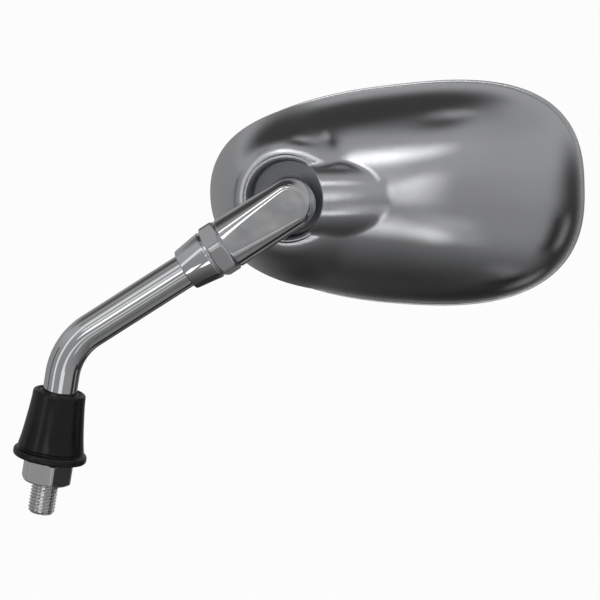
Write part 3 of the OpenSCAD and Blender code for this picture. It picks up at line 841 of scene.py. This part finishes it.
# Mixes two shaders into an output
def mixInto(tree, kind, share, first, second):
    mix = makeNode(tree, "ShaderNodeMixShader")
    feed(tree, mix.inputs[0], share)
    feed(tree, mix.inputs[1], first.outputs[0])
    feed(tree, mix.inputs[2], second.outputs[0])
    feed(tree, makeNode(tree, kind).inputs[0], mix.outputs[0])


def makeWorld():
    world = bpy.data.worlds.new("studioWorld")
    bpy.context.scene.world = world
    tree = emptyTree(world)
    path = makeNode(tree, "ShaderNodeLightPath")
    seen = mathNode(tree, "MAXIMUM", path.outputs["Is Camera Ray"], path.outputs["Is Glossy Ray"])
    seen = mathNode(tree, "MAXIMUM", seen, path.outputs["Is Transmission Ray"])
    light, white = (makeNode(tree, "ShaderNodeBackground") for _ in range(2))
    for node, strength in ((light, studio["worldLight"]), (white, 1.0)):
        feed(tree, node.inputs["Color"], (1, 1, 1, 1))
        feed(tree, node.inputs["Strength"], strength)
    mixInto(tree, "ShaderNodeOutputWorld", seen, light, white)


def makeFloor():
    bm = bmesh.new()
    bmesh.ops.create_grid(bm, x_segments=8, y_segments=8, size=studio["floorSize"],
                          matrix=Matrix.Translation((0, 0, studio["floorDepth"])))
    mesh = bpy.data.meshes.new("studioFloor")
    bm.to_mesh(mesh)
    bm.free()
    floor = bpy.data.objects.new("studioFloor", mesh)
    bpy.context.collection.objects.link(floor)
    material = bpy.data.materials.new("studioFloor")
    tree = emptyTree(material)
    path = makeNode(tree, "ShaderNodeLightPath")
    matte = makeNode(tree, "ShaderNodeBsdfDiffuse")
    feed(tree, matte.inputs["Color"], (*[studio["floorTone"]] * 3, 1))
    glow = makeNode(tree, "ShaderNodeEmission")
    share = mathNode(tree, "MULTIPLY", path.outputs["Is Camera Ray"], studio["floorGlow"])
    mixInto(tree, "ShaderNodeOutputMaterial", share, matte, glow)
    mesh.materials.append(material)
    floor.visible_glossy = False


# Unit vector at an azimuth from the front toward outboard and an elevation, in degrees
def toward(azimuth, elevation):
    az, el = math.radians(azimuth), math.radians(elevation)
    return Vector((math.sin(az) * math.cos(el), -math.cos(az) * math.cos(el), math.sin(el)))


# A patch of a sphere about the mirror that only reflections see
def addPatch(name, west, east, low, high, radius, material):
    centre = Vector(studio["tentCentre"])

    def place(u, v):
        return [centre + radius * toward(west + (east - west) * a, low + (high - low) * b)
                for a, b in zip(u, v)]

    columns, rows = (max(2, int(span / studio["patchStep"])) for span in (east - west, high - low))
    bm = mapped(columns, rows, place)
    mesh = bpy.data.meshes.new(name)
    bm.to_mesh(mesh)
    bm.free()
    mesh.materials.append(material)
    patch = bpy.data.objects.new(name, mesh)
    bpy.context.collection.objects.link(patch)
    patch.visible_camera = False
    patch.visible_diffuse = False
    patch.visible_shadow = False
    patch.visible_transmission = False
    patch.visible_volume_scatter = False


# Brightness of the tent by height, from the nadir to the zenith, then its soft dark areas:
# azimuth, elevation, inner angle, outer angle, depth
tent = {
    "levels": [(-1.0, 0.04), (-0.9, 0.08), (-0.75, 0.13), (-0.55, 0.21), (-0.35, 0.27),
               (0.1, 0.28), (0.27, 0.37), (0.7, 0.38), (0.96, 0.33), (1.0, 0.26)],
    "shades": [(112, -12, 15, 46, 0.84), (152, -45, 10, 42, 0.8), (-135, 52, 18, 42, 0.86),
               (-56, 70, 6, 13, 0.85)],
}


def emission(name):
    material = bpy.data.materials.new(name)
    tree = emptyTree(material)
    glow = makeNode(tree, "ShaderNodeEmission")
    feed(tree, makeNode(tree, "ShaderNodeOutputMaterial").inputs[0], glow.outputs[0])
    return material, tree, glow.inputs["Strength"]


def tentMaterial():
    material, tree, strength = emission("studioTent")
    shift = vectorNode(tree, "SUBTRACT", objectPlace(tree), studio["tentCentre"])["Vector"]
    aim = vectorNode(tree, "NORMALIZE", shift)["Vector"]
    split = makeNode(tree, "ShaderNodeSeparateXYZ")
    feed(tree, split.inputs[0], aim)
    ramp = makeNode(tree, "ShaderNodeValToRGB")
    stops = ramp.color_ramp.elements
    for i, (height, level) in enumerate(tent["levels"]):
        position = (height + 1) / 2
        stop = stops[i] if i < 2 else stops.new(position)
        stop.position = position
        stop.color = (level, level, level, 1)
    feed(tree, ramp.inputs[0], mapRange(tree, split.outputs["Z"], -1.0, 1.0, 0.0, 1.0))
    level = ramp.outputs[0]
    for azimuth, elevation, inner, outer, depth in tent["shades"]:
        dot = vectorNode(tree, "DOT_PRODUCT", aim, toward(azimuth, elevation))["Value"]
        angle = mathNode(tree, "ARCCOSINE", dot)
        fade = mapRange(tree, angle, math.radians(inner), math.radians(outer), 1 - depth, 1.0)
        fade.node.interpolation_type = "SMOOTHSTEP"
        level = mathNode(tree, "MULTIPLY", level, fade)
    feed(tree, strength, level)
    return material


# Strips and lines in front of the tent: west, east, low and high edges in degrees, brightness,
# and the fraction of the tent's radius
strips = [
    ("stripHigh", -45, -29, 28, 40, 2.1, 0.96),
    ("stripHighEast", -24, -14, 36.5, 41.5, 2.6, 0.96),
    ("stripLink", -38, -26, 14, 18, 0.9, 0.96),
    ("stripMiddle", -24, -13, 0, 9, 1.3, 0.96),
    ("stripMiddleEast", -13, -6, 6.5, 11.5, 2.1, 0.96),
    ("stripLow", -23, -14, -31, -19, 1.5, 0.96),
    ("stripLowMiddle", -7, 2, -31, -23, 2.1, 0.96),
    ("stripLowEast", -9, 15, -15.5, -11.5, 0.8, 0.96),
    ("stripSill", 6, 23, -27.5, -24.5, 0.7, 0.96),
    ("stripTop", -116, -88, 73, 84, 0.7, 0.96),
    ("stripSide", -58, -47, -15, 35, 0.8, 0.96),
    ("lineLeft", -92, -85, -25, 8, 0.05, 0.94),
    ("lineHigh", -79, -72, 30, 42, 0.08, 0.94),
    ("lineRight", 78, 94, -30, 0, 0.03, 0.94),
    ("lineFar", 100, 112, -24, -4, 0.24, 0.94),
    ("lineGround", 50, 100, -60, -51, 0.19, 0.94),
    ("lineBack", 128, 148, -49, -36, 0.2, 0.94),
    ("lineNadir", 102, 122, -68, -50, 0.015, 0.92),
]


def makeTent():
    addPatch("studioTent", -180, 180, -90, 90, studio["tentRadius"], tentMaterial())
    for name, west, east, low, high, level, share in strips:
        material, tree, strength = emission(name)
        feed(tree, strength, level)
        addPatch(name, west, east, low, high, studio["tentRadius"] * share, material)


makeWorld()
makeFloor()
makeTent()
print("stage: studio made")

sceneView = bpy.context.scene.view_settings
sceneView.view_transform = "Standard"
